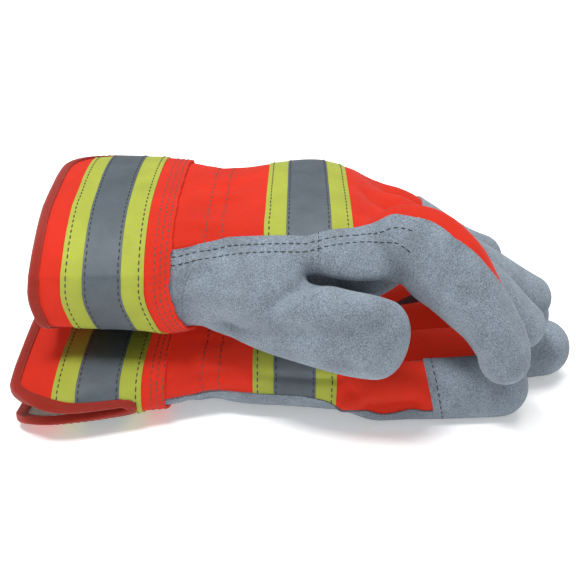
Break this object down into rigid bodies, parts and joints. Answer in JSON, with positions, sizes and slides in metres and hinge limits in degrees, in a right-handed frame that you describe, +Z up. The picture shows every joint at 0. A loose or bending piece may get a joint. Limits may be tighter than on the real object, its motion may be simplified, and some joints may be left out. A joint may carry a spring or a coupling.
{
  "type": "work gloves",
  "caption": "Pair of work gloves with suede leather palms and fingertips, fluorescent fabric backs and wide safety cuffs with reflective bands, laid one on the other.",
  "frame": {"origin": "middle of the bounding box of the pair, at its base on the surface", "axes": "+X from the cuffs to the fingertips, +Y away from the left thumb, +Z up; the right glove is below, the left glove lies on it"},
  "size_m": [0.254, 0.1654, 0.1028],
  "materials": {
    "orange_fabric": "fluorescent red-orange twill, matt",
    "edge_binding": "dark red-orange woven binding tape, matt",
    "lime_tape": "fluorescent yellow-green tape, satin",
    "silver_tape": "silver-grey retro-reflective tape with glass beads",
    "suede": "blue-grey split cowhide, napped",
    "lining": "off-white cotton lining, brushed",
    "elastic": "white elastic band sewn under the wrist"
  },
  "bodies": {
    "right_glove": {"right_cuff_shell": "orange_fabric", "right_cuff_lining": "lining", "right_cuff_binding": "edge_binding", "right_cuff_tape_lime": "lime_tape", "right_cuff_tape_silver": "silver_tape", "right_hand_back": "orange_fabric", "right_palm": "suede", "right_palm_lining": "lining", "right_wrist_elastic": "elastic", "right_knuckle_tape_lime": "lime_tape", "right_knuckle_tape_silver": "silver_tape", "right_index_front": "suede", "right_index_back": "orange_fabric", "right_index_tip": "suede", "right_middle_front": "suede", "right_middle_back": "orange_fabric", "right_middle_tip": "suede", "right_ring_front": "suede", "right_ring_back": "orange_fabric", "right_ring_tip": "suede", "right_little_front": "suede", "right_little_back": "orange_fabric", "right_little_tip": "suede"},
    "right_thumb": {"right_thumb_front": "suede", "right_thumb_back": "suede"},
    "left_glove": {"left_cuff_shell": "orange_fabric", "left_cuff_lining": "lining", "left_cuff_binding": "edge_binding", "left_cuff_tape_lime": "lime_tape", "left_cuff_tape_silver": "silver_tape", "left_hand_back": "orange_fabric", "left_palm": "suede", "left_palm_lining": "lining", "left_wrist_elastic": "elastic", "left_knuckle_tape_lime": "lime_tape", "left_knuckle_tape_silver": "silver_tape"},
    "left_thumb": {"left_thumb_front": "suede", "left_thumb_back": "suede"},
    "left_index": {"left_index_front": "suede", "left_index_back": "orange_fabric", "left_index_tip": "suede"},
    "left_middle": {"left_middle_front": "suede", "left_middle_back": "orange_fabric", "left_middle_tip": "suede"},
    "left_ring": {"left_ring_front": "suede", "left_ring_back": "orange_fabric", "left_ring_tip": "suede"},
    "left_little": {"left_little_front": "suede", "left_little_back": "orange_fabric", "left_little_tip": "suede"}
  },
  "joints": [
    {"name": "left_glove_lift", "type": "slide", "parent": "right_glove", "child": "left_glove", "axis": [0, 0, 1], "range_m": [0, 0.12]},
    {"name": "right_thumb_spread", "type": "hinge", "parent": "right_glove", "child": "right_thumb", "pos_m": [-0.034, 0.034, 0.016], "axis": [0, 0, 1], "range_deg": [0, 20]},
    {"name": "left_thumb_spread", "type": "hinge", "parent": "left_glove", "child": "left_thumb", "pos_m": [-0.043, -0.046, 0.058], "axis": [0, 0, -1], "range_deg": [0, 24]},
    {"name": "left_index_lift", "type": "hinge", "parent": "left_glove", "child": "left_index", "pos_m": [0.0436, -0.0458, 0.096], "axis": [0, -1, 0], "range_deg": [0, 25]},
    {"name": "left_middle_lift", "type": "hinge", "parent": "left_glove", "child": "left_middle", "pos_m": [0.0418, -0.0208, 0.0855], "axis": [0, -1, 0], "range_deg": [0, 25]},
    {"name": "left_ring_lift", "type": "hinge", "parent": "left_glove", "child": "left_ring", "pos_m": [0.0418, 0.0052, 0.0835], "axis": [0, -1, 0], "range_deg": [0, 25]},
    {"name": "left_little_lift", "type": "hinge", "parent": "left_glove", "child": "left_little", "pos_m": [0.0418, 0.0307, 0.0795], "axis": [0, -1, 0], "range_deg": [0, 25]}
  ]
}
